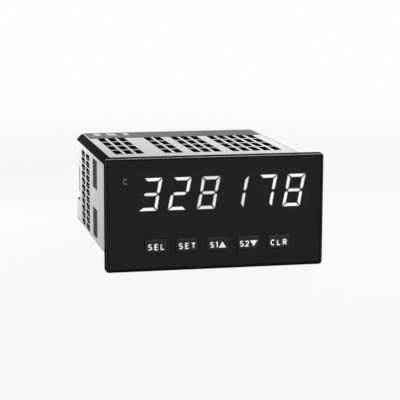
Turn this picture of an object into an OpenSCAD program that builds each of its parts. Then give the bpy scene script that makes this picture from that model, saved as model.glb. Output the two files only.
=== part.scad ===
// LED panel counter of the 96 x 48 mm class, in millimetres.
// +X is to the right seen from the front, +Y runs back through the panel and +Z is up.
// The origin is the centre of the panel cut-out, in the panel's front plane.

/* [Digits] */
// Distance from one digit module to the next
digit_pitch = 12.7; // [12:0.1:15]
// Height of a lit figure
digit_h = 14.3; // [12:0.1:18]
// Width of a lit figure at one level
digit_w = 8.1; // [7:0.1:9]
// Lean of the figures, in degrees
digit_slant = 10; // [0:1:12]
// Width of one segment
segment_w = 1.6; // [1:0.1:2]
// Gap between the ends of two segments
segment_gap = 0.3; // [0.1:0.05:0.5]
// Depth of the light pockets in a module's face
segment_depth = 1; // [0.5:0.1:3]
// Depth of a digit module, from its face to the board
module_depth = 8; // [7:0.1:12]
// Face of a module above and below its figure
module_margin = 2.35; // [1.5:0.05:4]
// Free space between two modules
module_gap = 0.2; // [0.1:0.05:0.5]
// Radius of a module's decimal point
point_r = 0.75; // [0.4:0.05:0.9]
// Sideways place of the digit row's middle
display_x = 3.4; // [0:0.1:6]
// Height of the digit row's middle
display_z = 8.6; // [6:0.1:12]
// The six figures that are shown
reading = [3, 2, 8, 1, 7, 8]; // [0:1:9]

/* [Channel lamp] */
// Width of the lamp
lamp_w = 2.4; // [1.5:0.1:4]
// Height of the lamp
lamp_h = 3.2; // [2:0.1:5]
// Gap from the lamp to the first digit module
lamp_gap = 3.4; // [1:0.1:3.8]
// Height of the lamp's middle above the digit row's middle
lamp_rise = 5.8; // [0:0.1:7]

/* [Keys] */
// Width of a key
key_w = 9.6; // [7:0.1:12]
// Height of a key
key_h = 6; // [4:0.1:7]
// Distance from one key to the next
key_pitch = 13.6; // [13:0.1:16]
// Sideways place of the key row's middle
key_x = 0.95; // [-2:0.05:3]
// Distance of the key row below the middle of the front
key_drop = 13.75; // [12:0.05:15]
// How far a key stands out of the window
key_proud = 0.8; // [0.3:0.1:2]
// Corner radius of a key
key_r = 0.8; // [0.3:0.1:2]
// Radius of a key's front edges
key_edge_r = 0.6; // [0.2:0.1:0.8]
// Free space round a key in its opening
key_gap = 0.2; // [0.1:0.05:0.5]
// How far a key moves when pressed
key_travel = 1; // [0.5:0.1:1.5]
// Thickness of the flange that keeps a key behind the bezel
key_flange_t = 0.8; // [0.5:0.1:1.2]
// How far the flange stands out round the key
key_flange_w = 0.9; // [0.5:0.1:1.2]
// Width of a key's stem
stem_w = 6; // [4:0.1:8]
// Height of a key's stem
stem_h = 3.6; // [2.5:0.1:5]
// Radius of the conductive contact under a key
contact_r = 1.5; // [1:0.1:1.8]
// Thickness of the conductive contact
contact_t = 0.5; // [0.3:0.1:1]
// Thickness of the rubber keypad mat
mat_t = 1.4; // [0.8:0.1:2]
// Rubber round the outermost keys of the mat
mat_margin = 2; // [1:0.1:3]

/* [Bezel and window] */
// Depth of the bezel in front of the gasket
bezel_t = 2.5; // [2.2:0.1:4]
// How far the bezel stands out round the case
bezel_lip = 2.55; // [2:0.05:5]
// Corner radius of the bezel's outline
bezel_r = 1.8; // [1.2:0.1:3]
// Leg of the bevel along the bezel's front edges
bezel_bevel = 0.5; // [0.3:0.1:0.9]
// Rim of the bezel round the window
rim_w = 1.2; // [1:0.1:2]
// Thickness of the window sheet
window_t = 0.8; // [0.5:0.1:1.2]
// Depth of the window below the rim
window_recess = 0.15; // [0.05:0.05:0.4]
// Corner radius of the window
window_r = 1; // [0.5:0.1:2]
// Thickness of the tongues that plug into the case
tongue_t = 1.2; // [0.8:0.1:2]
// Height of a tongue
tongue_h = 14; // [6:0.5:14]
// Thickness of the pressed panel gasket
gasket_t = 1; // [0.5:0.1:2]
// Distance of the gasket's edge inside the bezel's edge
gasket_inset = 0.8; // [0.3:0.1:1.2]

/* [Case] */
// Length of the case behind the bezel
case_len = 105.2; // [98:0.2:140]
// Wall thickness of the case
case_wall = 2; // [1.5:0.1:3]
// Leg of the chamfer along the case's four long edges
case_chamfer = 2.6; // [2:0.1:4]
// Room inside the case beside the digit row's far end
side_room = 2.2; // [1:0.1:8]
// Room inside the case above the digit modules
top_room = 2.15; // [1:0.05:8]
// Height of the card guide ribs on the side walls
guide_d = 1.6; // [1:0.1:2.5]
// Thickness of one card guide rib
guide_t = 1.2; // [0.8:0.1:2]

/* [Vents] */
// Width of a slot in the top and bottom
vent_w = 3.15; // [2:0.05:3.6]
// Length of a slot in the top and bottom
vent_l = 12.6; // [6:0.1:12.8]
// Distance from one column of slots to the next
vent_pitch = 4.87; // [4.4:0.01:5]
// Distance from one row of slots to the next
vent_row_pitch = 14.5; // [13:0.05:16]
// Number of rows of slots
vent_rows = 4; // [1:1:4]
// Place of the first column in each group of slots
vent_starts = [-36.95, -14.45, -1.45, 16.6]; // [-38:0.05:38]
// Number of columns in each group of slots
vent_counts = [3, 2, 3, 5]; // [1:1:5]
// Distance from the last row of slots to the rear end
vent_back = 21.2; // [15:0.1:30]
// Length of a slot in the sides
side_vent_l = 11.3; // [6:0.1:13]
// Height of a slot in the sides
side_vent_h = 2.8; // [1.2:0.1:2.9]
// Ramp at the rear end of a side slot's floor
side_vent_ramp = 0.7; // [0.2:0.1:1]
// Distance from one side slot to the next
side_vent_pitch = 3.31; // [3:0.01:3.5]
// Number of slots in a column
side_vent_rows = 11; // [3:1:11]
// Distance from one column of side slots to the next
side_column_pitch = 14.9; // [14:0.1:20]
// Number of columns of side slots
side_vent_columns = 2; // [1:1:2]
// Distance from the last column of side slots to the rear end
side_vent_back = 17.8; // [16:0.1:30]
// How far the side slots sit below the middle
side_vent_drop = 0.9; // [0:0.1:1.2]

/* [Latches] */
// Distance from the bezel to the latch racks in the sides
rack_front = 37.2; // [25:0.1:40]
// Length of a latch rack
rack_l = 13.4; // [8:0.1:16]
// Height of a latch rack
rack_h = 13.4; // [8:0.1:14]
// Distance of a latch rack from the middle of the side
rack_z = 4.5; // [2:0.1:5]
// Number of teeth in a latch rack
rack_teeth = 6; // [3:1:10]
// Depth of the roots of the rack's teeth
rack_root = 0.9; // [0.5:0.1:1.2]
// Depth of the crests of the rack's teeth
rack_crest = 0.3; // [0.1:0.1:0.4]
// Length of the finger notch at the rear of each side
notch_l = 10.2; // [7:0.1:12]
// Height of the finger notch
notch_h = 19; // [14:0.1:24]
// Depth of the pocket that holds a latch tooth, from inside
pocket_d = 1; // [0.5:0.1:1.2]
// Length of the pocket
pocket_l = 4; // [3:0.1:5]

/* [Rear base] */
// Thickness of the rear base's plate
base_t = 2.4; // [1.6:0.1:4]
// Height of a finger tab
tab_h = 12; // [8:0.1:14]
// Thickness of a finger tab's arm
arm_t = 1.6; // [1:0.1:2.5]
// Depth of the finger tab below the case's side
tab_recess = 1; // [0.5:0.1:1.5]
// Number of grip grooves in a finger tab
grip_grooves = 4; // [2:1:6]
// Width and depth of a grip groove
grip_groove = 0.6; // [0.3:0.1:0.8]
// Width of a closed option opening in the plate
option_w = 22; // [14:0.5:24]
// Height of a closed option opening
option_h = 9; // [6:0.5:12]
// Distance from one option opening to the next
option_pitch = 26; // [25:0.5:27]
// Depth of the groove round an option opening
option_groove_d = 0.6; // [0.3:0.1:1]
// Width of the groove round an option opening
option_groove_w = 0.8; // [0.4:0.1:1.5]
// Room between the option openings and the top of the plate
option_drop = 4; // [2:0.1:6]

/* [Terminals] */
// Distance from one terminal to the next
pole_pitch = 5.08; // [3.5:0.01:5.1]
// Number of signal terminals
signal_poles = 9; // [3:1:10]
// Number of power terminals
power_poles = 2; // [2:1:3]
// Free space between the two terminal blocks
block_gap = 4; // [2:0.1:5]
// Height of a terminal block
block_h = 11.2; // [10:0.1:14]
// Length of a terminal block
block_l = 16; // [14:0.1:20]
// Side wall of a terminal block beyond its poles
block_side = 0.3; // [0.2:0.1:1]
// Width and depth of the groove between two poles
block_groove = 0.5; // [0.3:0.1:0.8]
// Width of a square wire entry
entry_w = 3.6; // [2.5:0.1:4]
// Depth of a wire entry
entry_d = 10; // [6:0.1:12]
// Height of a wire entry's middle above the board
entry_z = 3.4; // [2.6:0.1:4]
// Height of a screw's middle above the board
screw_z = 8.2; // [7.6:0.1:9]
// Radius of a terminal screw's head
screw_r = 1.65; // [1.2:0.05:1.8]
// Height of a terminal screw's head
screw_head = 1.8; // [1:0.1:2.5]
// Radius of a terminal screw's shank
shank_r = 1.1; // [0.8:0.05:1.1]
// Length of a terminal screw's shank
shank_l = 6; // [3:0.1:8]
// Depth of a screw's head below the block's face
screw_sink = 1; // [0.3:0.1:2]
// Width and depth of a screwdriver slot
screw_slot = 0.5; // [0.3:0.1:0.8]
// Length of a wire clamp
clamp_l = 6; // [4:0.1:8]
// Sheet thickness of a wire clamp
clamp_t = 0.5; // [0.3:0.1:0.8]
// Length of a terminal header on the board
header_l = 8; // [6:0.1:9]
// Height of a terminal header
header_h = 9; // [7:0.1:10]

/* [Boards] */
// Thickness of both circuit boards
board_t = 1.6; // [1:0.1:2]
// Room under the main board
board_room = 3; // [2.5:0.1:4]
// Height of the header between the boards
bridge_h = 6; // [4:0.1:10]
// Width of the header between the boards
bridge_w = 30; // [20:0.5:30]
// Length of the header between the boards
bridge_l = 4.5; // [3:0.1:5]
// Sideways place of the board screws
board_screw_x = 37.5; // [37:0.1:38]
// Width of a board ledge on the rear base
ledge_w = 7; // [6:0.1:8]
// Length of a board ledge
ledge_l = 8; // [7:0.1:10]
// Height of a board ledge
ledge_h = 4.5; // [4:0.1:6]
// Radius of a board screw's shank
board_screw_r = 1.2; // [1:0.05:1.5]
// Radius of a board screw's head
board_head_r = 2.4; // [2:0.1:2.8]
// Height of a board screw's head
board_head_h = 1.5; // [1:0.1:1.8]
// How far a board screw goes into its ledge
board_screw_bite = 3.2; // [2:0.1:3.4]

/* [Circuit] */
// Width of the transformer core
core_w = 34; // [30:0.5:36]
// Height of the transformer core
core_h = 28; // [24:0.5:29]
// Stack of the transformer core
core_stack = 15; // [10:0.5:18]
// Width of the core's outer legs and yokes
core_leg = 5.6; // [4:0.1:6]
// How far the winding stands out of the core
winding_proud = 5; // [3:0.1:6]
// Sideways place of the transformer
core_x = -22; // [-23:0.1:-21]
// Distance of the transformer's middle from the board's front edge
core_y = 40; // [36:0.1:42]
// Radius of a capacitor
cap_r = 5; // [3:0.1:5.5]
// Height of a capacitor
cap_h = 17; // [10:0.5:25]
// Sideways places of the capacitors
cap_xs = [3, 3, 15]; // [0:0.5:16]
// Distances of the capacitors from the board's front edge
cap_ys = [21, 34, 29]; // [20:0.5:45]
// Width of the microcontroller
micro_w = 12; // [10:0.1:13]
// Sideways place of the microcontroller
micro_x = 22; // [21:0.1:23]
// Distance of the first row of chips from the board's front edge
chip_y = 14; // [13:0.1:15]
// Length of a logic chip
logic_l = 9.8; // [8:0.1:10.5]
// Width of a logic chip
logic_w = 4; // [3:0.1:5]
// Sideways places of the logic chips
logic_xs = [-32, -18, 36.4]; // [-36:0.1:36.6]
// Height of a chip
chip_h = 1.6; // [1:0.1:2.5]
// Length of a chip's leads
lead_l = 1.1; // [0.6:0.1:1.2]
// Distance from one chip lead to the next
lead_pitch = 1.27; // [1:0.01:1.5]
// Width and thickness of a chip's leads
lead_w = 0.45; // [0.3:0.05:0.6]
// Sideways place of the first option socket
socket_x = 25; // [24:0.1:26]
// Distance from one option socket to the next
socket_pitch = 6.5; // [4:0.1:7]
// Number of option sockets
socket_count = 3; // [1:1:3]
// Length of an option socket
socket_l = 22; // [15:0.5:26]
// Width of an option socket
socket_w = 2.6; // [2:0.1:3]
// Height of an option socket
socket_h = 8.5; // [5:0.1:12]
// Distance of the option sockets from the board's front edge
socket_y = 26; // [25:0.1:28]
// Number of contacts in an option socket
socket_contacts = 8; // [4:1:10]
// Width of a contact's opening in an option socket
socket_hole = 0.9; // [0.5:0.1:1.2]
// Distance from one jumper pin to the next
pin_pitch = 2.54; // [2:0.01:3]
// Height of the jumper pins
pin_h = 6; // [4:0.1:8]
// Number of jumper columns
jumper_count = 4; // [2:1:6]
// Sideways place of the jumpers
jumper_x = 8; // [6:0.1:12]
// Distance of the jumpers from the board's front edge
jumper_y = 52; // [48:0.1:56]

/* [Label] */
// Length of the grey film on the rear of the top
label_l = 20.8; // [10:0.1:21]
// Thickness of the film
label_t = 0.15; // [0.05:0.05:0.3]
// Distance of the film from the chamfers
label_side = 0.9; // [0.3:0.1:4]
// Distance of the film from the rear end
label_back = 0.3; // [0.1:0.1:2]

/* [Hidden] */
$fn = 48;

// How far a cut runs past the faces it goes through
cut = 1;
// How far a cut that ends in a hollow runs past the wall
wall_past = 0.1;
// Clearances between pieces that fit together
digit_gap = 0.15;
opening_gap = 0.4;
window_gap = 0.1;
tongue_gap = 0.15;
gasket_gap = 0.25;
base_gap = 0.25;
latch_gap = 0.3;
block_fit = 0.3;
clamp_fit = 0.1;
screw_fit = 0.15;
contact_gap = 0.05;
board_side_gap = 0.4;
board_end_gap = 0.5;
guide_gap = 0.2;
stem_gap = 0.5;
winding_gap = 0.2;

// Counts that the named nodes fix
digit_count = 6;
key_count = 5;

// Widths and heights that follow from the display
module_w = digit_pitch - module_gap;
module_h = digit_h + 2 * module_margin;
row_w = digit_count * digit_pitch;
cavity_w = row_w + 2 * (abs(display_x) + side_room);
cavity_h = module_h + 2 * (abs(display_z) + top_room);
case_w = cavity_w + 2 * case_wall;
case_h = cavity_h + 2 * case_wall;
cavity_chamfer = max(case_chamfer - case_wall * (2 - sqrt(2)), segment_gap);
bezel_w = case_w + 2 * bezel_lip;
bezel_h = case_h + 2 * bezel_lip;
recess_w = bezel_w - 2 * rim_w;
recess_h = bezel_h - 2 * rim_w;
strip_w = case_chamfer * sqrt(2);

// Places along Y, from the front to the rear
bezel_back = -gasket_t;
bezel_front = bezel_back - bezel_t;
window_front = bezel_front + window_recess;
window_back = window_front + window_t;
digit_face = window_back + digit_gap;
board_front = digit_face + module_depth;
board_back = board_front + board_t;
main_front = board_back + board_end_gap;
case_front = bezel_back;
case_back = case_front + case_len;
plate_front = case_back - base_t;
main_back = plate_front - board_end_gap;
block_front = case_back - block_l;
key_front = window_front - key_proud;
contact_back = board_front - key_travel - contact_gap;
stem_back = contact_back - contact_t;
notch_front = case_back - notch_l;
tab_front = notch_front + latch_gap;
pocket_front = notch_front - 2 * case_wall - pocket_l;
guide_front = main_front + bridge_l;
guide_back = pocket_front - case_wall;

// Places along Z
board_bottom = -cavity_h / 2 + board_room;
board_top = board_bottom + board_t;
key_z = -key_drop;
lamp_z = display_z + lamp_rise;

// Places along X
lamp_x = display_x - row_w / 2 - lamp_gap - lamp_w / 2;
arm_out = cavity_w / 2 - base_gap;
arm_in = arm_out - arm_t;
signal_w = signal_poles * pole_pitch + 2 * block_side;
power_w = power_poles * pole_pitch + 2 * block_side;
blocks_w = signal_w + block_gap + power_w;
signal_mid = -blocks_w / 2 + signal_w / 2;
power_mid = blocks_w / 2 - power_w / 2;
function pole_x(mid, poles, i) = mid + (i - (poles - 1) / 2) * pole_pitch;
function digit_x(i) = display_x + (i - (digit_count - 1) / 2) * digit_pitch;
function key_place(i) = key_x + (i - (key_count - 1) / 2) * key_pitch;

// Segments a to g of a figure, 1 where it is lit, for the figures 0 to 9
FIGURES = [
    [1, 1, 1, 1, 1, 1, 0], [0, 1, 1, 0, 0, 0, 0], [1, 1, 0, 1, 1, 0, 1], [1, 1, 1, 1, 0, 0, 1],
    [0, 1, 1, 0, 0, 1, 1], [1, 0, 1, 1, 0, 1, 1], [1, 0, 1, 1, 1, 1, 1], [1, 1, 1, 0, 0, 0, 0],
    [1, 1, 1, 1, 1, 1, 1], [1, 1, 1, 1, 0, 1, 1]
];
SEGMENTS = [0 : 6];

// A flat outline in X and Z, run along Y
module along_y(y0, y1) {
    translate([0, y1, 0])
        rotate([90, 0, 0])
            linear_extrude(y1 - y0)
                children();
}

// A flat outline in Y and Z, run along X
module along_x(x0, x1) {
    translate([x0, 0, 0])
        rotate([90, 0, 90])
            linear_extrude(x1 - x0)
                children();
}

// A flat outline in X and Y, run along Z
module along_z(z0, z1) {
    translate([0, 0, z0])
        linear_extrude(z1 - z0)
            children();
}

// A rectangle with round corners
module rounded_rect(w, h, r) {
    square([w - 2 * r, h], center = true);
    square([w, h - 2 * r], center = true);
    for (x = [-1, 1], y = [-1, 1])
        translate([x * (w / 2 - r), y * (h / 2 - r)])
            circle(r);
}

// A rectangle with its corners cut at 45 degrees
module chamfered_rect(w, h, c) {
    x = w / 2;
    y = h / 2;
    polygon([
        [x - c, -y], [x, -y + c], [x, y - c], [x - c, y],
        [-x + c, y], [-x, y - c], [-x, -y + c], [-x + c, -y]
    ]);
}

// A strip from y0 to y1 whose two front corners are round
module front_round_strip(y0, y1, h, r) {
    translate([y0 + r, -h / 2])
        square([y1 - y0 - r, h]);
    translate([y0, -h / 2 + r])
        square([y1 - y0, h - 2 * r]);
    for (side = [-1, 1])
        translate([y0 + r, side * (h / 2 - r)])
            circle(r);
}

// A block with round corners and round front edges, centred on the Y axis
module soft_front_block(w, h, corner_r, edge_r, y0, y1) {
    intersection() {
        along_y(y0, y1)
            rounded_rect(w, h, corner_r);
        along_x(-w / 2 - cut, w / 2 + cut)
            front_round_strip(y0, y1 + cut, h, edge_r);
        along_z(-h / 2 - cut, h / 2 + cut)
            rotate(90)
                front_round_strip(y0, y1 + cut, w, edge_r);
    }
}

// A strip from y0 to y1 whose two front corners are cut at 45 degrees
module front_bevel_strip(y0, y1, h, c) {
    polygon([
        [y0 + c, -h / 2], [y1, -h / 2], [y1, h / 2],
        [y0 + c, h / 2], [y0, h / 2 - c], [y0, c - h / 2]
    ]);
}

// A block with round corners and bevelled front edges, centred on the Y axis
module bevel_front_block(w, h, corner_r, bevel, y0, y1) {
    intersection() {
        along_y(y0, y1)
            rounded_rect(w, h, corner_r);
        along_x(-w / 2 - cut, w / 2 + cut)
            front_bevel_strip(y0, y1 + cut, h, bevel);
        along_z(-h / 2 - cut, h / 2 + cut)
            rotate(90)
                front_bevel_strip(y0, y1 + cut, w, bevel);
    }
}

// Openings for the keys, grown by a gap
module key_outlines(gap) {
    for (i = [0 : key_count - 1])
        translate([key_place(i), key_z])
            rounded_rect(key_w + 2 * gap, key_h + 2 * gap, key_r);
}

// Black front frame: rim, web with its openings, and two tongues that plug into the case
module bezel() {
    color([0.1, 0.1, 0.1])
    union() {
        difference() {
            bevel_front_block(bezel_w, bezel_h, bezel_r, bezel_bevel, bezel_front, bezel_back);
            along_y(bezel_front - cut, window_back)
                rounded_rect(recess_w, recess_h, window_r);
            along_y(bezel_front, bezel_back + cut) {
                translate([display_x, display_z])
                    square([row_w + 2 * opening_gap, module_h + 2 * opening_gap], center = true);
                translate([lamp_x, lamp_z])
                    square([lamp_w + 2 * opening_gap, lamp_h + 2 * opening_gap], center = true);
                key_outlines(key_gap);
            }
        }
        for (side = [0, 1])
            mirror([side, 0, 0])
                bezel_tongue();
    }
}

module bezel_tongue() {
    x_out = cavity_w / 2 - tongue_gap;
    translate([x_out - tongue_t, bezel_back, key_z - tongue_h / 2 + stem_h])
        cube([tongue_t, board_front - bezel_back, tongue_h]);
}

// Dark sheet over the whole front, open at the keys
module front_window() {
    color([0.13, 0.13, 0.13])
    along_y(window_front, window_back)
        difference() {
            rounded_rect(recess_w - 2 * window_gap, recess_h - 2 * window_gap, window_r);
            key_outlines(key_gap);
        }
}

// Foam ring between the bezel and the panel
module panel_gasket() {
    inner_w = case_w + 2 * gasket_gap;
    inner_h = case_h + 2 * gasket_gap;
    color([0.06, 0.06, 0.06])
    along_y(bezel_back, 0)
        difference() {
            rounded_rect(bezel_w - 2 * gasket_inset, bezel_h - 2 * gasket_inset, bezel_r);
            chamfered_rect(inner_w, inner_h, case_chamfer);
        }
}

// Chamfered sleeve with vents, latch racks and finger notches
module case() {
    color([0.8, 0.8, 0.8])
    union() {
        difference() {
            along_y(case_front, case_back)
                chamfered_rect(case_w, case_h, case_chamfer);
            along_y(case_front - cut, case_back + cut)
                chamfered_rect(cavity_w, cavity_h, cavity_chamfer);
            top_vents();
            mirror([0, 0, 1])
                top_vents();
            for (side = [0, 1])
                mirror([side, 0, 0]) {
                    side_cuts();
                    strip_end_cut();
                    mirror([0, 0, 1])
                        strip_end_cut();
                }
        }
        for (side = [0, 1])
            mirror([side, 0, 0])
                card_guides();
    }
}

// Groups of slots through the top wall
module top_vents() {
    for (group = [0 : len(vent_starts) - 1])
        for (column = [0 : vent_counts[group] - 1], row = [0 : vent_rows - 1])
            translate([
                vent_starts[group] + column * vent_pitch,
                case_back - vent_back - vent_l / 2 - row * vent_row_pitch,
                case_h / 2
            ])
                cube([vent_w, vent_l, 2 * case_wall + cut], center = true);
}

// Everything cut in the right-hand wall
module side_cuts() {
    for (column = [0 : side_vent_columns - 1], row = [0 : side_vent_rows - 1])
        translate([
            case_w / 2,
            case_back - side_vent_back - column * side_column_pitch,
            (row - (side_vent_rows - 1) / 2) * side_vent_pitch - side_vent_drop
        ])
            side_slot();
    for (up = [0, 1])
        mirror([0, 0, up])
            along_z(rack_z, rack_z + rack_h)
                rack_outline();
    translate([case_w / 2 - case_wall - cut, notch_front, -notch_h / 2])
        cube([case_wall + 2 * cut, notch_l + cut, notch_h]);
    translate([cavity_w / 2 - cut, pocket_front, -tab_h / 2 - latch_gap])
        cube([pocket_d + cut, pocket_l, tab_h + 2 * latch_gap]);
}

// One slot through a side wall, ending at the origin, with a ramp up its rear end
module side_slot() {
    half_h = side_vent_h / 2;
    along_x(-case_wall - cut, cut)
        polygon([
            [-side_vent_l, -half_h],
            [-side_vent_ramp, -half_h],
            [0, side_vent_ramp - half_h],
            [0, half_h],
            [-side_vent_l, half_h]
        ]);
}

// What is cut off to round the rear end of the chamfer between the top and the right
module strip_end_cut() {
    translate([(case_w - case_chamfer) / 2, case_back, (case_h - case_chamfer) / 2])
        rotate([0, 45, 0])
            along_z(-case_wall - wall_past, cut)
                difference() {
                    translate([-strip_w / 2, -strip_w / 2])
                        square([strip_w, strip_w / 2 + cut]);
                    translate([0, -strip_w / 2])
                        circle(d = strip_w);
                }
}

// Saw-tooth floor of a latch rack, each tooth steep towards the bezel
module rack_outline() {
    face = case_w / 2;
    pitch = rack_l / rack_teeth;
    y0 = case_front + rack_front;
    teeth = [
        for (i = [rack_teeth - 1 : -1 : 0], end = [1, 0])
            [face - (end == 1 ? rack_root : rack_crest), y0 + (i + end) * pitch]
    ];
    polygon(concat([[face + cut, y0], [face + cut, y0 + rack_l]], teeth));
}

// Two ribs that hold one edge of the main board
module card_guides() {
    x0 = cavity_w / 2 - guide_d;
    for (z = [board_top + guide_gap, board_bottom - guide_gap - guide_t])
        translate([x0, guide_front, z])
            cube([guide_d, guide_back - guide_front, guide_t]);
}

// Grey film on the rear of the top
module rear_label() {
    w = case_w - 2 * (case_chamfer + label_side);
    y1 = case_back - label_back;
    color([0.45, 0.45, 0.45])
    translate([-w / 2, y1 - label_l, case_h / 2])
        cube([w, label_l, label_t]);
}

// Rubber key: soft-edged cap, flange behind the bezel, and stem
module key(i) {
    color([0.2, 0.2, 0.2])
    translate([key_place(i), 0, key_z])
    union() {
        soft_front_block(key_w, key_h, key_r, key_edge_r, key_front, bezel_back);
        along_y(bezel_back, bezel_back + key_flange_t)
            rounded_rect(key_w + 2 * key_flange_w, key_h + 2 * key_flange_w, key_r);
        along_y(bezel_back, stem_back)
            rounded_rect(stem_w, stem_h, key_r);
    }
}

// Conductive pill on the end of a key's stem
module contact(i) {
    color([0.03, 0.03, 0.03])
    translate([key_place(i), contact_back, key_z])
        rotate([90, 0, 0])
            cylinder(r = contact_r, h = contact_t);
}

module display_key() { key(0); }
module parameter_key() { key(1); }
module up_key() { key(2); }
module down_key() { key(3); }
module reset_key() { key(4); }
module display_contact() { contact(0); }
module parameter_contact() { contact(1); }
module up_contact() { contact(2); }
module down_contact() { contact(3); }
module reset_contact() { contact(4); }

// Rubber sheet on the display board, open round the stems
module keypad_mat() {
    mat_w = (key_count - 1) * key_pitch + key_w + 2 * mat_margin;
    color([0.16, 0.16, 0.16])
    along_y(board_front - mat_t, board_front)
        difference() {
            translate([key_x, key_z])
                rounded_rect(mat_w, key_h + 2 * mat_margin, mat_margin);
            for (i = [0 : key_count - 1])
                translate([key_place(i), key_z])
                    rounded_rect(stem_w + 2 * stem_gap, stem_h + 2 * stem_gap, key_r);
        }
}

// Upright board behind the front
module display_board() {
    color([0.05, 0.3, 0.14])
    along_y(board_front, board_back)
        chamfered_rect(cavity_w - 2 * board_side_gap, cavity_h - 2 * board_side_gap, case_chamfer);
}

// Light pipe of the small channel lamp
module channel_lamp() {
    color([0.75, 0.75, 0.72])
    along_y(digit_face, board_front)
        translate([lamp_x, lamp_z])
            rounded_rect(lamp_w, lamp_h, segment_gap);
}

// A point of a figure, leant over by the slant
function leaning(p) = [p[0] - digit_w / 2 + (p[1] - digit_h / 2) * tan(digit_slant), p[1] - digit_h / 2];

// Corner points of segment s in an upright figure, a to g as 0 to 6
function segment_points(s) =
    let (w = digit_w, h = digit_h, t = segment_w, m = digit_h / 2, g = segment_gap / sqrt(2))
    s == 0 ? [[g, h], [w - g, h], [w - t - g, h - t], [t + g, h - t]] :
    s == 1 ? [
        [w, h - g], [w, m + t / 2 + g], [w - t / 2, m + g], [w - t, m + t / 2 + g], [w - t, h - t - g]
    ] :
    s == 2 ? [[w, g], [w - t, t + g], [w - t, m - t / 2 - g], [w - t / 2, m - g], [w, m - t / 2 - g]] :
    s == 3 ? [[g, 0], [t + g, t], [w - t - g, t], [w - g, 0]] :
    s == 4 ? [[0, g], [0, m - t / 2 - g], [t / 2, m - g], [t, m - t / 2 - g], [t, t + g]] :
    s == 5 ? [[0, h - g], [t, h - t - g], [t, m + t / 2 + g], [t / 2, m + g], [0, m + t / 2 + g]] :
    [
        [t / 2 + g, m], [t + g, m + t / 2], [w - t - g, m + t / 2],
        [w - t / 2 - g, m], [w - t - g, m - t / 2], [t + g, m - t / 2]
    ];

module segment_outline(s) {
    polygon([for (p = segment_points(s)) leaning(p)]);
}

module point_outline() {
    translate([module_w / 2 - point_r - segment_gap, -digit_h / 2 + point_r])
        circle(point_r);
}

// Housing of one digit, with a pocket for each segment
module digit(i) {
    color([0.09, 0.09, 0.09])
    translate([digit_x(i), 0, display_z])
    difference() {
        along_y(digit_face, board_front)
            square([module_w, module_h], center = true);
        along_y(digit_face - cut, digit_face + segment_depth) {
            for (s = SEGMENTS)
                segment_outline(s);
            point_outline();
        }
    }
}

module digit_1() { digit(0); }
module digit_2() { digit(1); }
module digit_3() { digit(2); }
module digit_4() { digit(3); }
module digit_5() { digit(4); }
module digit_6() { digit(5); }

// Light diffusers of all segments whose state is the one asked for
module segments(state) {
    for (i = [0 : digit_count - 1])
        translate([digit_x(i), 0, display_z])
            for (s = SEGMENTS)
                if (FIGURES[reading[i]][s] == state)
                    along_y(digit_face, digit_face + segment_depth)
                        segment_outline(s);
}

module lit_segments() {
    color([1, 1, 1])
    segments(1);
}

module dark_segments() {
    color([0.16, 0.16, 0.16]) {
        segments(0);
        for (i = [0 : digit_count - 1])
            translate([digit_x(i), 0, display_z])
                along_y(digit_face, digit_face + segment_depth)
                    point_outline();
    }
}

// Flat board that slides in with the rear base
module main_board() {
    w = cavity_w - 2 * board_side_gap;
    color([0.05, 0.3, 0.14])
    difference() {
        translate([-w / 2, main_front, board_bottom])
            cube([w, main_back - main_front, board_t]);
        for (side = [-1, 1])
            translate([side * board_screw_x, plate_front - ledge_l / 2, board_bottom - cut])
                cylinder(r = board_screw_r + screw_fit, h = board_t + 2 * cut);
    }
}

// Header that joins the two boards
module board_header() {
    color([0.07, 0.07, 0.07])
    translate([-bridge_w / 2, board_back, board_top])
        cube([bridge_w, bridge_l, bridge_h]);
}

// Something that stands on the main board, placed from the board's front edge
module on_board(x, y) {
    translate([x, main_front + y, board_top])
        children();
}

// Laminated core with two windows, its middle leg twice as wide as an outer one
module core_outline() {
    window_w = core_w / 2 - 2 * core_leg;
    difference() {
        translate([-core_w / 2, 0])
            square([core_w, core_h]);
        for (side = [-1, 1])
            translate([side * (core_leg + window_w / 2), core_h / 2])
                square([window_w, core_h - 2 * core_leg], center = true);
    }
}

module transformer_core() {
    color([0.5, 0.5, 0.52])
    on_board(core_x, core_y)
        along_y(-core_stack / 2, core_stack / 2)
            core_outline();
}

// Taped winding round the middle leg
module transformer_winding() {
    depth = core_stack + 2 * winding_proud;
    wound_w = core_w - 2 * core_leg - 2 * winding_gap;
    wound_h = core_h - 2 * core_leg - 2 * winding_gap;
    color([0.75, 0.62, 0.2])
    on_board(core_x, core_y)
        along_z(core_leg + winding_gap, core_leg + winding_gap + wound_h)
            difference() {
                rounded_rect(wound_w, depth, winding_proud / 2);
                square([2 * (core_leg + winding_gap), core_stack + 2 * winding_gap], center = true);
            }
}

// Electrolytic cans, with the groove near the foot
module capacitor() {
    groove = cap_r / 10;
    rotate_extrude()
        difference() {
            square([cap_r, cap_h]);
            translate([cap_r, cap_r / 2])
                circle(groove);
        }
}

module capacitors() {
    color([0.1, 0.12, 0.22])
    for (i = [0 : len(cap_xs) - 1])
        on_board(cap_xs[i], cap_ys[i])
            capacitor();
}

// Chip with leads on two opposite sides
module chip(l, w) {
    leads = floor((l - lead_pitch) / lead_pitch) + 1;
    translate([-l / 2, -w / 2, lead_w / 2])
        cube([l, w, chip_h]);
    for (i = [0 : leads - 1])
        translate([(i - (leads - 1) / 2) * lead_pitch - lead_w / 2, -w / 2 - lead_l, 0])
            cube([lead_w, w + 2 * lead_l, lead_w]);
}

module microcontroller() {
    color([0.06, 0.06, 0.07])
    on_board(micro_x, chip_y)
        for (turn = [0, 90])
            rotate(turn)
                chip(micro_w, micro_w);
}

module logic_chips() {
    color([0.06, 0.06, 0.07])
    for (x = logic_xs)
        on_board(x, chip_y)
            chip(logic_l, logic_w);
}

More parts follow.
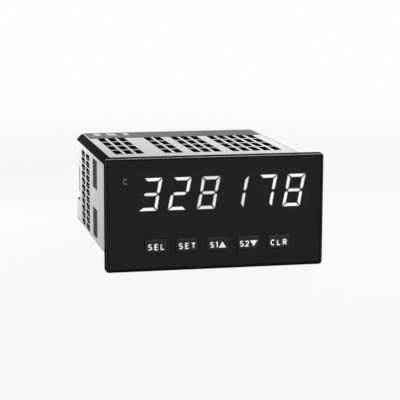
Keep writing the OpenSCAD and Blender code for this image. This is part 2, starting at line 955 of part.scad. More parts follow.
// Sockets for plug-in cards
module option_sockets() {
    step = socket_l / socket_contacts;
    color([0.08, 0.08, 0.08])
    for (i = [0 : socket_count - 1])
        on_board(socket_x + i * socket_pitch, socket_y)
            difference() {
                translate([-socket_w / 2, 0, 0])
                    cube([socket_w, socket_l, socket_h]);
                for (j = [0 : socket_contacts - 1])
                    translate([-socket_hole / 2, (j + 0.5) * step - socket_hole / 2, socket_h / 2])
                        cube([socket_hole, socket_hole, socket_h]);
            }
}

// Two rows of pins, with a shunt on the first and the last column
module input_jumpers() {
    pin_w = pin_pitch / 4;
    base_w = jumper_count * pin_pitch;
    color([0.1, 0.1, 0.1])
    on_board(jumper_x, jumper_y) {
        translate([-base_w / 2, -pin_pitch, 0])
            cube([base_w, 2 * pin_pitch, pin_pitch]);
        for (i = [0 : jumper_count - 1], row = [-1, 1])
            translate([(i - (jumper_count - 1) / 2) * pin_pitch, row * pin_pitch / 2, pin_h / 2])
                cube([pin_w, pin_w, pin_h], center = true);
        for (end = [-1, 1])
            translate([end * (jumper_count - 1) / 2 * pin_pitch, 0, pin_h - pin_pitch / 2])
                cube([pin_pitch - pin_w, 2 * pin_pitch, pin_h - pin_pitch], center = true);
    }
}

// Plate that closes the case, with finger tabs, latch arms, board ledges and closed option openings
module rear_base() {
    color([0.12, 0.12, 0.12])
    union() {
        difference() {
            along_y(plate_front, case_back)
                chamfered_rect(cavity_w - 2 * base_gap, cavity_h - 2 * base_gap, cavity_chamfer);
            block_opening(signal_mid, signal_w);
            block_opening(power_mid, power_w);
            for (i = [-1, 0, 1])
                option_groove(i * option_pitch);
        }
        for (side = [0, 1])
            mirror([side, 0, 0]) {
                latch_arm();
                board_ledge();
            }
    }
}

// Opening round a terminal block, down to the board
module block_opening(mid, w) {
    translate([mid - w / 2 - block_fit, plate_front - cut, board_top - block_fit])
        cube([w + 2 * block_fit, base_t + 2 * cut, block_h + 2 * block_fit]);
}

// Groove round a closed option opening in the rear face
module option_groove(x) {
    z_mid = cavity_h / 2 - option_drop - option_h / 2;
    along_y(case_back - option_groove_d, case_back + cut)
        translate([x, z_mid])
            difference() {
                square([option_w, option_h], center = true);
                square([option_w - 2 * option_groove_w, option_h - 2 * option_groove_w], center = true);
            }
}

// Arm along the side wall, its tooth in the case's pocket and its finger tab in the notch
module latch_arm() {
    tooth_front = pocket_front + latch_gap;
    tooth_l = pocket_l - 2 * latch_gap;
    tab_out = case_w / 2 - tab_recess;
    groove_step = (case_back - tab_front) / (grip_grooves + 1);
    translate([arm_in, tooth_front, -tab_h / 2])
        cube([arm_t, case_back - tooth_front, tab_h]);
    translate([arm_in, tooth_front, -tab_h / 2])
        cube([cavity_w / 2 + pocket_d - latch_gap - arm_in, tooth_l, tab_h]);
    difference() {
        translate([arm_in, tab_front, -tab_h / 2])
            cube([tab_out - arm_in, case_back - tab_front, tab_h]);
        for (i = [1 : grip_grooves])
            translate([
                tab_out - grip_groove,
                tab_front + i * groove_step - grip_groove / 2,
                -tab_h / 2 - cut
            ])
                cube([grip_groove + cut, grip_groove, tab_h + 2 * cut]);
    }
}

// Ledge over a rear corner of the main board, with its screw hole
module board_ledge() {
    difference() {
        translate([board_screw_x - ledge_w / 2, plate_front - ledge_l, board_top])
            cube([ledge_w, ledge_l + base_t, ledge_h]);
        translate([board_screw_x, plate_front - ledge_l / 2, board_top - cut])
            cylinder(r = board_screw_r + screw_fit, h = cut + board_screw_bite + screw_fit);
    }
}

// Pan-head screws from under the main board into the ledges
module board_screws() {
    color([0.75, 0.75, 0.77])
    for (side = [-1, 1])
        translate([side * board_screw_x, plate_front - ledge_l / 2, board_bottom]) {
            cylinder(r = board_screw_r, h = board_t + board_screw_bite);
            translate([0, 0, -board_head_h])
                difference() {
                    cylinder(r = board_head_r, h = board_head_h);
                    cube([2 * board_head_r + cut, screw_slot, 2 * screw_slot], center = true);
                }
        }
}

// Terminal block with a wire entry and a screw hole for each pole
module terminal_block(mid, poles) {
    w = poles * pole_pitch + 2 * block_side;
    difference() {
        translate([mid - w / 2, block_front, board_top])
            cube([w, block_l, block_h]);
        for (i = [0 : poles - 1])
            translate([pole_x(mid, poles, i), case_back, board_top]) {
                translate([-entry_w / 2, -entry_d, entry_z - entry_w / 2])
                    cube([entry_w, entry_d + cut, entry_w]);
                translate([0, cut, screw_z])
                    rotate([90, 0, 0])
                        cylinder(r = screw_r + screw_fit, h = cut + screw_sink + screw_head);
                translate([0, 0, screw_z])
                    rotate([90, 0, 0])
                        cylinder(
                            r = shank_r + screw_fit,
                            h = screw_sink + screw_head + shank_l + screw_fit
                        );
            }
        for (i = [1 : poles - 1])
            translate([pole_x(mid, poles, i) - pole_pitch / 2, case_back, board_top + block_h / 2])
                cube([block_groove, 2 * block_groove, block_h + cut], center = true);
    }
}

module signal_terminals() {
    color([0.11, 0.11, 0.11])
    terminal_block(signal_mid, signal_poles);
}

module power_terminals() {
    color([0.11, 0.11, 0.11])
    terminal_block(power_mid, power_poles);
}

// Board headers that the terminal blocks plug on to
module terminal_headers() {
    color([0.09, 0.09, 0.09])
    for (block = [[signal_mid, signal_w], [power_mid, power_w]])
        translate([block[0] - block[1] / 2, block_front - header_l, board_top])
            cube([block[1], header_l, header_h]);
}

// Something repeated at every pole of both blocks
module at_poles() {
    for (block = [[signal_mid, signal_poles], [power_mid, power_poles]])
        for (i = [0 : block[1] - 1])
            translate([pole_x(block[0], block[1], i), case_back, board_top])
                children();
}

module terminal_screws() {
    color([0.78, 0.78, 0.8])
    at_poles()
        translate([0, -screw_sink, screw_z])
            rotate([90, 0, 0])
                difference() {
                    union() {
                        cylinder(r = screw_r, h = screw_head);
                        cylinder(r = shank_r, h = screw_head + shank_l);
                    }
                    cube([2 * screw_r + cut, screw_slot, 2 * screw_slot], center = true);
                }
}

// Square wire clamps in the entries
module wire_clamps() {
    clamp_w = entry_w - 2 * clamp_fit;
    color([0.72, 0.72, 0.74])
    at_poles()
        translate([0, 0, entry_z])
            along_y(-screw_sink - clamp_l, -screw_sink)
                difference() {
                    square(clamp_w, center = true);
                    square(clamp_w - 2 * clamp_t, center = true);
                }
}

bezel();
front_window();
panel_gasket();
case();
rear_label();
display_key();
parameter_key();
up_key();
down_key();
reset_key();
display_contact();
parameter_contact();
up_contact();
down_contact();
reset_contact();
keypad_mat();
display_board();
channel_lamp();
digit_1();
digit_2();
digit_3();
digit_4();
digit_5();
digit_6();
lit_segments();
dark_segments();
main_board();
board_header();
transformer_core();
transformer_winding();
capacitors();
microcontroller();
logic_chips();
option_sockets();
input_jumpers();
rear_base();
board_screws();
signal_terminals();
power_terminals();
terminal_headers();
terminal_screws();
wire_clamps();
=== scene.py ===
"""Dresses the panel counter: finishes, printed legends, lit figures, studio and camera.

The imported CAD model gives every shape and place. Lengths here are metres, and MM turns
the millimetres of the drawing into them. Tones are linear shares of white.
"""
import math

import bmesh
import bpy
from mathutils import Matrix, Vector


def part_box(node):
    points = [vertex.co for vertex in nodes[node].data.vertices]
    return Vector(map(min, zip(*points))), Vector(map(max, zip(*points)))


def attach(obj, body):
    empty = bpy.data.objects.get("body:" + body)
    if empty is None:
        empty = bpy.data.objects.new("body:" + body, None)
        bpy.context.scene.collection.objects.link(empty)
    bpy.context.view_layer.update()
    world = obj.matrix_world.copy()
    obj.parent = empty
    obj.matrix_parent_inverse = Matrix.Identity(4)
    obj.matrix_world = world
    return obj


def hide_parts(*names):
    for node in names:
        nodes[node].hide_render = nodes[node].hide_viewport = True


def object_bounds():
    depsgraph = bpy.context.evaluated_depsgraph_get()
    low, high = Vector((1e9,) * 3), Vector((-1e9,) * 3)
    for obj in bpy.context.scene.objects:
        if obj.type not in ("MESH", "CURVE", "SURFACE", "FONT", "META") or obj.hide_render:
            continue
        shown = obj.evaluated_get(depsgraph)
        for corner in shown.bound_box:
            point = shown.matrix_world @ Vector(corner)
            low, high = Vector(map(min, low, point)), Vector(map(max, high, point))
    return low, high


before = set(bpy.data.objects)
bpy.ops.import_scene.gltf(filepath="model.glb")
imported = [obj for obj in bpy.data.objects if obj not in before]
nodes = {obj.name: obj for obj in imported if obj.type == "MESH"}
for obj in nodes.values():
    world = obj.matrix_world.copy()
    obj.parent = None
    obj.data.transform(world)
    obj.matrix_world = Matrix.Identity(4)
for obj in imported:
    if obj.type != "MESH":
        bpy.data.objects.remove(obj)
cad_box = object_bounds()

MM = 0.001
HOUSING = "housing"
KEYS = ("display", "parameter", "up", "down", "reset")
DIGITS = tuple(f"digit_{n}" for n in range(1, 7))


def low(node):
    """A node's lowest corner."""
    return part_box(node)[0]


def high(node):
    """A node's highest corner."""
    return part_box(node)[1]


def middle(node):
    """The centre of a node's box."""
    return (low(node) + high(node)) / 2


def grey(tone):
    """An RGBA grey."""
    return (tone, tone, tone, 1)


def scaled(colour, factor):
    """An RGBA colour made darker or lighter."""
    return tuple(c * factor for c in colour[:3]) + (1,)


def link(tree, source, target):
    """Joins an output socket to an input socket."""
    tree.links.new(source, target)


WHITE = grey(1)


# Camera: where the photo was taken from, found from the bezel's and the case's corners

CAMERA_PLACE = Vector((-139.57, -607.49, 110.26)) * MM
CAMERA_YAW = math.radians(12.384)
CAMERA_PITCH = math.radians(-9.601)
CAMERA_ROLL = math.radians(0.17)
CAMERA_LENS_MM = 131.35
SENSOR_MM = 36
CLIP_NEAR = 10 * MM
CLIP_FAR = 100


def make_camera():
    """The camera at the photo's angle, looking along +Y turned by yaw, pitch and roll."""
    data = bpy.data.cameras.new("camera")
    data.sensor_width = SENSOR_MM
    data.lens = CAMERA_LENS_MM
    data.clip_start = CLIP_NEAR
    data.clip_end = CLIP_FAR
    camera = bpy.data.objects.new("camera", data)
    bpy.context.scene.collection.objects.link(camera)
    turn = Matrix.Rotation(-CAMERA_YAW, 4, "Z")
    tilt = Matrix.Rotation(math.pi / 2 + CAMERA_PITCH, 4, "X")
    roll = Matrix.Rotation(CAMERA_ROLL, 4, "Z")
    camera.matrix_world = Matrix.Translation(CAMERA_PLACE) @ turn @ tilt @ roll
    bpy.context.scene.camera = camera


# Studio

WORLD_LIGHT = 0.18
FLOOR_SIZE = 30
FLOOR_TONE = 0.40
FLOOR_WHITE_NEAR = 0.91
FADE_START = 0.25
FADE_END = 0.9
LAMPS = {
    # name: (place in mm, aimed at in mm, width and height in mm, watts)
    "top_box": ((60, 60, 620), (0, 40, 0), (420, 420), 0.04),
    "rear_left_box": ((-110, 138, 66), (-45, 95, 15), (60, 60), 0.140),
    "left_box": ((-320, 20, 70), (-46, 50, 0), (200, 110), 0.47),
    "front_box": ((340, -560, 330), (0, 0, 0), (420, 420), 2.0),
    "top_right_box": ((110, 70, 125), (50, 56, 22), (80, 80), 0.20),
    "right_box": ((430, 120, 120), (46, 50, 0), (300, 190), 0.9),
    "edge_strip": ((54, -36, 260), (54, -36, 0), (300, 22), 0.17),
}


def backdrop_share(tree):
    """1 on rays that see the backdrop as such: from the camera, a mirror or glass."""
    path = tree.nodes.new("ShaderNodeLightPath")
    total = path.outputs["Is Camera Ray"]
    for ray in ("Is Glossy Ray", "Is Transmission Ray"):
        step = tree.nodes.new("ShaderNodeMath")
        step.operation = "MAXIMUM"
        link(tree, total, step.inputs[0])
        link(tree, path.outputs[ray], step.inputs[1])
        total = step.outputs[0]
    return total


def make_world():
    """A plain white surround that lights the object softly."""
    world = bpy.data.worlds.new("studio")
    world.use_nodes = True
    bpy.context.scene.world = world
    tree = world.node_tree
    tree.nodes.clear()
    output = tree.nodes.new("ShaderNodeOutputWorld")
    shown = tree.nodes.new("ShaderNodeBackground")
    shown.inputs["Color"].default_value = WHITE
    light = tree.nodes.new("ShaderNodeBackground")
    light.inputs["Color"].default_value = WHITE
    light.inputs["Strength"].default_value = WORLD_LIGHT
    mix = tree.nodes.new("ShaderNodeMixShader")
    link(tree, backdrop_share(tree), mix.inputs[0])
    link(tree, light.outputs[0], mix.inputs[1])
    link(tree, shown.outputs[0], mix.inputs[2])
    link(tree, mix.outputs[0], output.inputs["Surface"])


def floor_material():
    """Matt grey that keeps the shadow, under a white that takes over farther out."""
    material = bpy.data.materials.new("floor")
    material.use_nodes = True
    tree = material.node_tree
    tree.nodes.clear()
    output = tree.nodes.new("ShaderNodeOutputMaterial")
    matt = tree.nodes.new("ShaderNodeBsdfDiffuse")
    matt.inputs["Color"].default_value = grey(FLOOR_TONE)
    white = tree.nodes.new("ShaderNodeEmission")
    place = tree.nodes.new("ShaderNodeTexCoord")
    reach = tree.nodes.new("ShaderNodeVectorMath")
    reach.operation = "LENGTH"
    link(tree, place.outputs["Object"], reach.inputs[0])
    fade = tree.nodes.new("ShaderNodeMapRange")
    fade.interpolation_type = "SMOOTHSTEP"
    fade.inputs["From Min"].default_value = FADE_START
    fade.inputs["From Max"].default_value = FADE_END
    fade.inputs["To Min"].default_value = FLOOR_WHITE_NEAR
    link(tree, reach.outputs["Value"], fade.inputs["Value"])
    share = tree.nodes.new("ShaderNodeMath")
    share.operation = "MULTIPLY"
    link(tree, fade.outputs[0], share.inputs[0])
    link(tree, backdrop_share(tree), share.inputs[1])
    mix = tree.nodes.new("ShaderNodeMixShader")
    link(tree, share.outputs[0], mix.inputs[0])
    link(tree, matt.outputs[0], mix.inputs[1])
    link(tree, white.outputs[0], mix.inputs[2])
    link(tree, mix.outputs[0], output.inputs["Surface"])
    return material


def make_floor():
    """A pale floor under the object."""
    mesh = bpy.data.meshes.new("floor")
    half = FLOOR_SIZE / 2
    corners = [(-half, -half, 0), (half, -half, 0), (half, half, 0), (-half, half, 0)]
    mesh.from_pydata(corners, [], [(0, 1, 2, 3)])
    mesh.materials.append(floor_material())
    floor = bpy.data.objects.new("floor", mesh)
    floor.location.z = cad_box[0].z
    bpy.context.scene.collection.objects.link(floor)


def make_lamps():
    """Soft boxes on every lit side, and a strip over the front edge."""
    for name, (place, aim, (width, height), watts) in LAMPS.items():
        data = bpy.data.lights.new(name, "AREA")
        data.shape = "RECTANGLE"
        data.size = width * MM
        data.size_y = height * MM
        data.energy = watts
        lamp = bpy.data.objects.new(name, data)
        lamp.location = Vector(place) * MM
        look = (Vector(aim) - Vector(place)).to_track_quat("-Z", "Y")
        lamp.rotation_euler = look.to_euler()
        lamp.visible_camera = False
        bpy.context.scene.collection.objects.link(lamp)


# Finishes

EDGE_SOFT = 0.12 * MM
EDGE_SAMPLES = 6
NOISE_SPAN = (0.2, 0.8)  # where most values of a noise lie


class Finish:
    """One procedural material, with short calls for the nodes that the finishes share."""

    def __init__(self, name, roughness=0.5, specular=0.5, metallic=0.0):
        self.material = bpy.data.materials.new(name)
        self.material.use_nodes = True
        self.tree = self.material.node_tree
        self.tree.nodes.clear()
        self.surface = self.add("ShaderNodeBsdfPrincipled")
        self.set("Roughness", roughness)
        self.set("Specular IOR Level", specular)
        self.set("Metallic", metallic)
        output = self.add("ShaderNodeOutputMaterial")
        link(self.tree, self.surface.outputs[0], output.inputs["Surface"])
        self.place = self.add("ShaderNodeTexCoord").outputs["Object"]
        split = self.add("ShaderNodeSeparateXYZ", Vector=self.place)
        self.x, self.y, self.z = split.outputs

    def put(self, socket, value):
        """Sets an input to a number or colour, or links it to another node's output."""
        if isinstance(value, bpy.types.NodeSocket):
            link(self.tree, value, socket)
        else:
            socket.default_value = value

    def set(self, name, value):
        """Sets one of the surface's own inputs."""
        self.put(self.surface.inputs[name], value)

    def add(self, kind, settings=None, **inputs):
        """Makes a node. Spaces in an input's name are written as underscores."""
        node = self.tree.nodes.new(kind)
        for name, value in (settings or {}).items():
            setattr(node, name, value)
        for name, value in inputs.items():
            self.put(node.inputs[name.replace("_", " ")], value)
        return node

    def math(self, operation, a, b=0.0):
        """Arithmetic on two numbers."""
        node = self.add("ShaderNodeMath", {"operation": operation})
        self.put(node.inputs[0], a)
        self.put(node.inputs[1], b)
        return node.outputs[0]

    def between(self, value, start, end, low_value=0.0, high_value=1.0):
        """Runs smoothly from one value to another while the input goes from start to end."""
        node = self.add(
            "ShaderNodeMapRange",
            {"interpolation_type": "SMOOTHSTEP"},
            Value=value,
            From_Min=start,
            From_Max=end,
            To_Min=low_value,
            To_Max=high_value,
        )
        return node.outputs[0]

    def band(self, value, start, end, soft, peak=1.0):
        """The peak while the input lies from start to end, and 0 past soft edges."""
        rise = self.between(value, start - soft, start, 0, peak)
        fall = self.between(value, end, end + soft, 1, 0)
        return self.math("MULTIPLY", rise, fall)

    def spread(self, noise, low_value, high_value):
        """Spreads a noise over a range of values."""
        return self.between(noise, *NOISE_SPAN, low_value, high_value)

    def mix(self, share, first, second):
        """A colour between two colours."""
        node = self.add("ShaderNodeMix", {"data_type": "RGBA"})
        self.put(node.inputs["Factor"], share)
        colours = [i for i in node.inputs if i.type == "RGBA"]
        self.put(colours[0], first)
        self.put(colours[1], second)
        return next(o for o in node.outputs if o.type == "RGBA")

    def varied(self, noise, colour, share):
        """A colour that a noise makes darker or lighter by up to a share."""
        return self.mix(noise, scaled(colour, 1 - share), scaled(colour, 1 + share))

    def stretched(self, scale):
        """The object's own coordinates, stretched."""
        node = self.add("ShaderNodeMapping", Vector=self.place, Scale=scale)
        return node.outputs[0]

    def noise(self, size, detail=2.0, where=None):
        """Cloudy noise from 0 to 1 whose blobs are about size across."""
        node = self.add(
            "ShaderNodeTexNoise",
            Vector=where or self.place,
            Scale=1 / size,
            Detail=detail,
        )
        return node.outputs["Fac"]

    def facing(self, direction):
        """How far the surface faces a direction: 1 straight at it, -1 straight away."""
        normal = self.add("ShaderNodeNewGeometry").outputs["True Normal"]
        node = self.add("ShaderNodeVectorMath", {"operation": "DOT_PRODUCT"})
        self.put(node.inputs[0], normal)
        self.put(node.inputs[1], direction)
        return node.outputs["Value"]

    def bumpy(self, height, depth, edge=EDGE_SOFT):
        """Raises the surface by height times depth, and rounds the look of its edges."""
        node = self.add("ShaderNodeBump", Height=height, Distance=depth)
        if edge:
            soft = self.add("ShaderNodeBevel", {"samples": EDGE_SAMPLES}, Radius=edge)
            self.put(node.inputs["Normal"], soft.outputs[0])
        self.set("Normal", node.outputs[0])


MOULD_CLOUD = 9 * MM
MOULD_CLOUDING = 0.12
MOULD_GRAIN = 0.35 * MM
MOULD_DEPTH = 0.012 * MM
MOULD_GLOSS = 0.07
FINE_GRAIN = 0.22 * MM
FINE_DEPTH = 0.010 * MM


def moulded(name, tone, roughness, specular, grain=MOULD_GRAIN, depth=MOULD_DEPTH):
    """Moulded plastic or rubber: a fine grain, and a faint cloudiness in tone and gloss."""
    finish = Finish(name, specular=specular)
    cloud = finish.noise(MOULD_CLOUD, 3)
    grains = finish.noise(grain, 3)
    finish.set("Base Color", finish.varied(cloud, grey(tone), MOULD_CLOUDING))
    gloss = finish.spread(grains, roughness - MOULD_GLOSS, roughness + MOULD_GLOSS)
    finish.set("Roughness", gloss)
    finish.bumpy(grains, depth)
    return finish


SCRATCH = 0.15 * MM
SCRATCH_STRETCH = (1, 1, 8)
SCRATCH_DEPTH = 0.004 * MM
SCRATCH_GLOSS = (-0.1, 0.12)
PLATE_STAIN = 1.2 * MM
PLATE_SHADES = (0.8, 1.1)


def plated(name, colour, roughness):
    """Plated metal with fine scratches and a slightly clouded gloss."""
    finish = Finish(name, metallic=1.0)
    marks = finish.noise(SCRATCH, 4, finish.stretched(SCRATCH_STRETCH))
    dull = finish.noise(PLATE_STAIN, 3)
    finish.set("Base Color", finish.mix(dull, *(scaled(colour, s) for s in PLATE_SHADES)))
    finish.set("Roughness", finish.spread(marks, *(roughness + g for g in SCRATCH_GLOSS)))
    finish.bumpy(marks, SCRATCH_DEPTH)
    return finish


# The case is a black moulding; the light grey on its flat sides is a painted reflection of the
# white surround

# Painted reflection: the light grey that the black flats would show by reflecting the white
# surround, put into the base colour.
CASE_PAINTED_REFLECTION = 0.50
CASE_BLACK = 0.012
RACK_TONE = 0.21
REFLECTION_CLOUDING = 0.05
BLACK_CLOUDING = 0.15
CASE_CLOUD = 14 * MM
CASE_GRAIN = 0.3 * MM
CASE_DEPTH = 0.014 * MM
CASE_GLOSS = 0.06
BARE_ROUGHNESS = 0.72
REFLECTION_ROUGHNESS = 0.55
TONE_EDGE = 0.06 * MM
CHAMFER = 2.6 * MM
CHAMFER_BARE = 0.3 * MM
CHAMFER_ROUND = 2.2 * MM
RACK_FRONT = 36.2 * MM
RACK_BACK = 49.6 * MM
RACK_REACH = 17.9 * MM
SLOT_GROUPS = ((-36.95, 3), (-14.45, 2), (-1.45, 3), (16.6, 5))  # first slot in mm, slots
SLOT_PITCH = 4.87
SLOT_BARE_W = 3.5
SLOT_ROWS = (33.2, 14.5, 4, 12.75)  # first row, pitch, rows and bare length in mm
SLOT_BLUR = 0.01
# The ramps' share of the light grey is a painted highlight: the bright streak inside each vent
# slot.
RAMP_NORMAL = (0, -math.sqrt(0.5), math.sqrt(0.5))
RAMP_FACING = (0.97, 0.99)
RAMP_PAINTED_HIGHLIGHT = 0.6


def near_slot(finish, along, first, pitch, count, width):
    """1 within half a width of the nearest of count places that start at first."""
    steps = finish.math("DIVIDE", finish.math("SUBTRACT", along, first * MM), pitch * MM)
    nearest = finish.math("MINIMUM", finish.math("ROUND", steps), count - 1.0)
    nearest = finish.math("MAXIMUM", nearest, 0.0)
    off = finish.math("ABSOLUTE", finish.math("SUBTRACT", steps, nearest))
    half = width / 2 / pitch
    return finish.between(off, half - SLOT_BLUR, half + SLOT_BLUR, 1, 0)


def bare_slot_rims(finish):
    """1 over the top and bottom slots and their rims, where the painted reflection stops
    short.
    """
    columns = 0.0
    for first, count in SLOT_GROUPS:
        group = near_slot(finish, finish.x, first, SLOT_PITCH, count, SLOT_BARE_W)
        columns = finish.math("MAXIMUM", columns, group)
    rows = near_slot(finish, finish.y, *SLOT_ROWS)
    return finish.math("MULTIPLY", columns, rows)


def coated_flat(finish, outward, reach, along, end, bare):
    """1 on the flat at a reach outward, as far along as the chamfer leaves it."""
    flat = finish.between(outward, reach - 2 * TONE_EDGE, reach - TONE_EDGE)
    room = finish.math("ADD", along, bare)
    return finish.math(
        "MULTIPLY", flat, finish.between(room, end - CHAMFER, end - CHAMFER + TONE_EDGE, 1, 0)
    )


def case_coat(finish, across, upright):
    """1 where the case has its painted reflection: the outer flats, and in part the vents'
    ramps, where it is a painted highlight.
    """
    half = high("case")
    bare = finish.between(
        finish.y, half.y - CHAMFER_ROUND, half.y - CHAMFER_BARE, CHAMFER_BARE, 0
    )
    side = coated_flat(finish, across, half.x, upright, half.z, bare)
    top = coated_flat(finish, upright, half.z, across, half.x, bare)
    # Painted highlight on the ramp faces that face front and up, picked by their normal.
    ramp = finish.between(finish.facing(RAMP_NORMAL), *RAMP_FACING, 0, RAMP_PAINTED_HIGHLIGHT)
    reflection = finish.math("MAXIMUM", finish.math("MAXIMUM", side, top), ramp)
    kept = finish.between(bare_slot_rims(finish), 0, 1, 1, 0)
    return finish.math("MULTIPLY", reflection, kept)


def case_finish():
    """Light-grey painted reflection on the outer flats; chamfers, vents and recesses stay
    black.
    """
    finish = Finish("case", specular=0.0)
    across = finish.math("ABSOLUTE", finish.x)
    upright = finish.math("ABSOLUTE", finish.z)
    reflection = case_coat(finish, across, upright)
    rack = finish.math(
        "MULTIPLY",
        finish.band(finish.y, RACK_FRONT, RACK_BACK, TONE_EDGE),
        finish.between(upright, RACK_REACH, RACK_REACH + TONE_EDGE, 1, 0),
    )
    cloud = finish.noise(CASE_CLOUD, 4)
    grains = finish.noise(CASE_GRAIN, 3)
    reflection_tone = finish.varied(cloud, grey(CASE_PAINTED_REFLECTION), REFLECTION_CLOUDING)
    black_tone = finish.varied(cloud, grey(CASE_BLACK), BLACK_CLOUDING)
    bare_tone = finish.mix(rack, black_tone, grey(RACK_TONE))
    # Painted reflection: light grey laid over the black moulding wherever the mask is 1.
    finish.set("Base Color", finish.mix(reflection, bare_tone, reflection_tone))
    gloss = finish.spread(grains, -CASE_GLOSS, CASE_GLOSS)
    rough = finish.between(reflection, 0, 1, BARE_ROUGHNESS, REFLECTION_ROUGHNESS)
    finish.set("Roughness", finish.math("ADD", gloss, rough))
    finish.bumpy(grains, CASE_DEPTH)
    return finish


BEZEL_BLACK = 0.012
BEZEL_DEPTH = 0.006 * MM
BEZEL_GLOSS = 0.05
BEZEL_ROUGHNESS = 0.5
# These make a painted highlight: a bright metallic band on the bezel's top edge, fainter at
# the sides, where light falls from above.
HIGHLIGHT_ROUGHNESS = 0.2
HIGHLIGHT_TONE = 0.22
HIGHLIGHT_SIDES = 0.25
HIGHLIGHT_OUTER = 0.47 * MM
HIGHLIGHT_INNER = 0.68 * MM
HIGHLIGHT_FADE = 0.06 * MM
REARWARD = (0, 1, 0)
FRONT_SLOPES = (-0.65, -0.6)


def bezel_line(finish):
    """1 on the painted highlight along the top edge where the bevel meets the front, faint at
    the sides.
    """
    half = high("bezel")
    above = finish.math("SUBTRACT", half.z, finish.z)
    beside = finish.math("SUBTRACT", half.x, finish.math("ABSOLUTE", finish.x))
    highlight = finish.math(
        "MAXIMUM",
        finish.band(above, HIGHLIGHT_OUTER, HIGHLIGHT_INNER, HIGHLIGHT_FADE),
        finish.band(beside, HIGHLIGHT_OUTER, HIGHLIGHT_INNER, HIGHLIGHT_FADE, HIGHLIGHT_SIDES),
    )
    in_front = finish.between(finish.facing(REARWARD), *FRONT_SLOPES, 1, 0)
    return finish.math("MULTIPLY", highlight, in_front)


def bezel_finish():
    """Black moulding, matt but for a painted highlight along its front edge."""
    finish = Finish("bezel", specular=0.0)
    highlight = bezel_line(finish)
    cloud = finish.noise(MOULD_CLOUD, 3)
    grains = finish.noise(MOULD_GRAIN, 3)
    matt = finish.varied(cloud, grey(BEZEL_BLACK), BLACK_CLOUDING)
    # Painted highlight: the line is made bright and metallic.
    finish.set("Base Color", finish.mix(highlight, matt, grey(HIGHLIGHT_TONE)))
    finish.set("Metallic", highlight)
    gloss = finish.spread(grains, -BEZEL_GLOSS, BEZEL_GLOSS)
    rough = finish.between(highlight, 0, 1, BEZEL_ROUGHNESS, HIGHLIGHT_ROUGHNESS)
    finish.set("Roughness", finish.math("ADD", gloss, rough))
    finish.bumpy(grains, BEZEL_DEPTH)
    return finish


WINDOW_TINT = 0.10
WINDOW_CLOUDING = 0.04
WINDOW_CLOUD = 20 * MM
WINDOW_IOR = 1.29
PEEL = 6 * MM
PEEL_DEPTH = 0.001 * MM


def window_finish():
    """Smoked acrylic sheet, hard-coated, with a faint orange peel."""
    finish = Finish("window", roughness=0.02)
    finish.set("Transmission Weight", 1.0)
    finish.set("IOR", WINDOW_IOR)
    cloud = finish.noise(WINDOW_CLOUD, 2)
    finish.set("Base Color", finish.varied(cloud, grey(WINDOW_TINT), WINDOW_CLOUDING))
    finish.bumpy(finish.noise(PEEL, 1), PEEL_DEPTH, edge=0)
    return finish


FOAM_CELL = 0.4 * MM
FOAM_DEPTH = 0.06 * MM
FOAM_TONES = (0.03, 0.012)


def foam_finish():
    """Closed-cell foam rubber."""
    finish = Finish("gasket", roughness=0.85, specular=0.15)
    voronoi = finish.add("ShaderNodeTexVoronoi", Vector=finish.place, Scale=1 / FOAM_CELL)
    cells = voronoi.outputs["Distance"]
    finish.set("Base Color", finish.mix(cells, *map(grey, FOAM_TONES)))
    finish.bumpy(cells, FOAM_DEPTH)
    return finish


# Label film, with marks in rows that stand for print too small to read

ROW_BAND = (0.30, 0.62, 0.10)  # start, end and soft edge, in shares of a row
WORD_EDGE = (0.46, 0.52)
BLOCK = 13 * MM
BLOCK_EDGE = (0.44, 0.50)
WEAVE = 0.25 * MM
WEAVE_DEPTH = 0.004 * MM
LABEL_TONES = (0.07, 0.09)
LABEL_CLOUD = 6 * MM
LABEL_GLOSS = (0.45, 0.6)
LABEL_INK = 0.025
LABEL_ROW = 2.1 * MM
LABEL_WORD = 0.8 * MM
FIELD_TONE = 0.46
FIELD_INK = 0.12
FIELD_ROW = 1.5 * MM
FIELD_WORD = 0.6 * MM


def small_print(finish, row, word):
    """1 on the marks, in rows that noise breaks up into words."""
    rows = finish.math("FRACT", finish.math("DIVIDE", finish.y, row))
    words = finish.noise(word, 3, finish.stretched((1, word / row, 1)))
    return finish.math(
        "MULTIPLY", finish.band(rows, *ROW_BAND), finish.between(words, *WORD_EDGE)
    )


def label_finish():
    """Grey film with blocks of small print."""
    finish = Finish("label", specular=0.1)
    weave = finish.noise(WEAVE, 3)
    cloud = finish.noise(LABEL_CLOUD, 3)
    blocks = finish.between(finish.noise(BLOCK, 1), *BLOCK_EDGE)
    inked = finish.math("MULTIPLY", small_print(finish, LABEL_ROW, LABEL_WORD), blocks)
    paper = finish.mix(cloud, *map(grey, LABEL_TONES))
    finish.set("Base Color", finish.mix(inked, paper, grey(LABEL_INK)))
    finish.set("Roughness", finish.spread(weave, *LABEL_GLOSS))
    finish.bumpy(weave, WEAVE_DEPTH)
    return finish


def field_finish():
    """Pale fields of the label, with small print of their own."""
    finish = Finish("field", roughness=0.55, specular=0.1)
    inked = small_print(finish, FIELD_ROW, FIELD_WORD)
    finish.set("Base Color", finish.mix(inked, grey(FIELD_TONE), grey(FIELD_INK)))
    finish.bumpy(finish.noise(WEAVE, 3), WEAVE_DEPTH)
    return finish


# Inside: boards, chips, transformer and capacitors

MASK_GREENS = ((0.006, 0.055, 0.022, 1), (0.010, 0.075, 0.030, 1))
TRACK_GREEN = (0.022, 0.13, 0.045, 1)
TRACK_CELL = 9 * MM
TRACK_DEPTH = 0.03 * MM
FIBRE = 0.5 * MM
BOARD_GLOSS = (0.28, 0.42)


